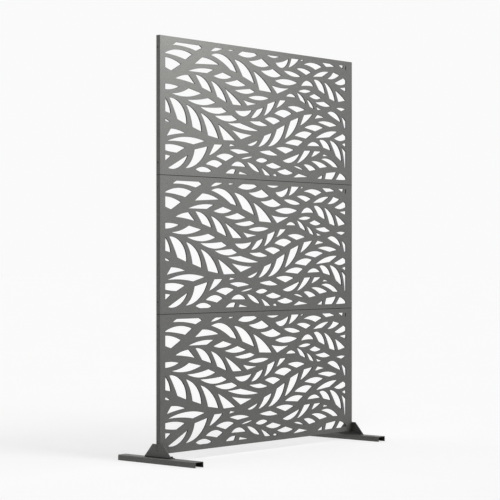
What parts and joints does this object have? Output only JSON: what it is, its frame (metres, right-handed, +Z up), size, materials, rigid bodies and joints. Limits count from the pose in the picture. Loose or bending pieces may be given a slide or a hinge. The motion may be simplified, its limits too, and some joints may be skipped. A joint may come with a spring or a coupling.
{
  "type": "privacy screen",
  "caption": "Free-standing metal privacy screen: stacked folded sheet panels cut with sprays of leaf slots, bolted edge to edge on channel feet with angle brackets.",
  "frame": {"origin": "on the floor, at the middle of the space that the two rails take up", "axes": "+X to the right and +Z up as the slotted front is seen, +Y from the front to the back"},
  "size_m": [1.264, 0.458, 1.6645],
  "materials": {
    "panel_coat": "matt powder coat",
    "foot_coat": "matt powder coat",
    "fastener": "dark coated steel"
  },
  "bodies": {
    "root": {"bottom_panel": "panel_coat", "middle_panel": "panel_coat", "top_panel": "panel_coat", "left_foot_rail": "foot_coat", "left_foot_bracket": "foot_coat", "right_foot_rail": "foot_coat", "right_foot_bracket": "foot_coat", "lower_seam_bolts": "fastener", "lower_seam_washers": "fastener", "lower_seam_nuts": "fastener", "upper_seam_bolts": "fastener", "upper_seam_washers": "fastener", "upper_seam_nuts": "fastener", "left_panel_screws": "foot_coat", "left_panel_washers": "fastener", "left_panel_nuts": "fastener", "left_rail_bolts": "fastener", "left_rail_washers": "fastener", "left_rail_nuts": "fastener", "right_panel_screws": "foot_coat", "right_panel_washers": "fastener", "right_panel_nuts": "fastener", "right_rail_bolts": "fastener", "right_rail_washers": "fastener", "right_rail_nuts": "fastener"}
  },
  "joints": []
}
